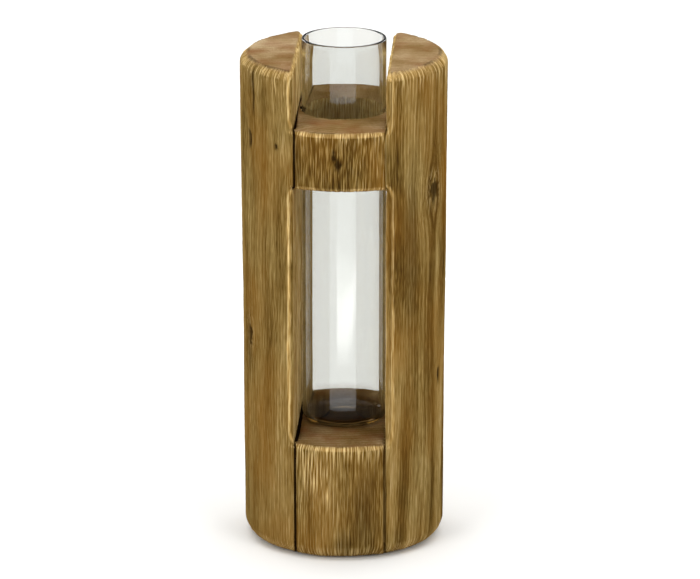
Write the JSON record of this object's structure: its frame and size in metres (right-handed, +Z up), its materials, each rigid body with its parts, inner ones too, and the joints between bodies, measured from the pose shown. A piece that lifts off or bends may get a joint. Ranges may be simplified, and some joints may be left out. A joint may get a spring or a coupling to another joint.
{
  "type": "test tube vase",
  "caption": "Round wooden stand glued up from boards, open at the front and back, holding a removable clear glass tube for cut flowers.",
  "frame": {"origin": "centre of the flat base, on the surface that the stand rests on", "axes": "+Z up along the tube's axis; the window and the top slot open towards -Y (front) and +Y (back); the cheeks stand at -X (left) and +X (right)"},
  "size_m": [0.1036, 0.1032, 0.257],
  "materials": {
    "stained_pine": "brushed softwood with a brown stain, worn lighter along the edges",
    "clear_glass": "clear drawn glass with a melted lip",
    "beech_dowel": "raw fluted beech"
  },
  "bodies": {
    "stand": {"left_cheek": "stained_pine", "right_cheek": "stained_pine", "upper_bridge": "stained_pine", "lower_block": "stained_pine", "dowel_upper_left_front": "beech_dowel", "dowel_upper_left_back": "beech_dowel", "dowel_upper_right_front": "beech_dowel", "dowel_upper_right_back": "beech_dowel", "dowel_lower_left_front": "beech_dowel", "dowel_lower_left_back": "beech_dowel", "dowel_lower_right_front": "beech_dowel", "dowel_lower_right_back": "beech_dowel"},
    "tube": {"glass_tube": "clear_glass"}
  },
  "joints": [
    {"name": "tube_lift", "type": "slide", "parent": "stand", "child": "tube", "axis": [0, 0, 1], "range_m": [0, 0.2]}
  ]
}
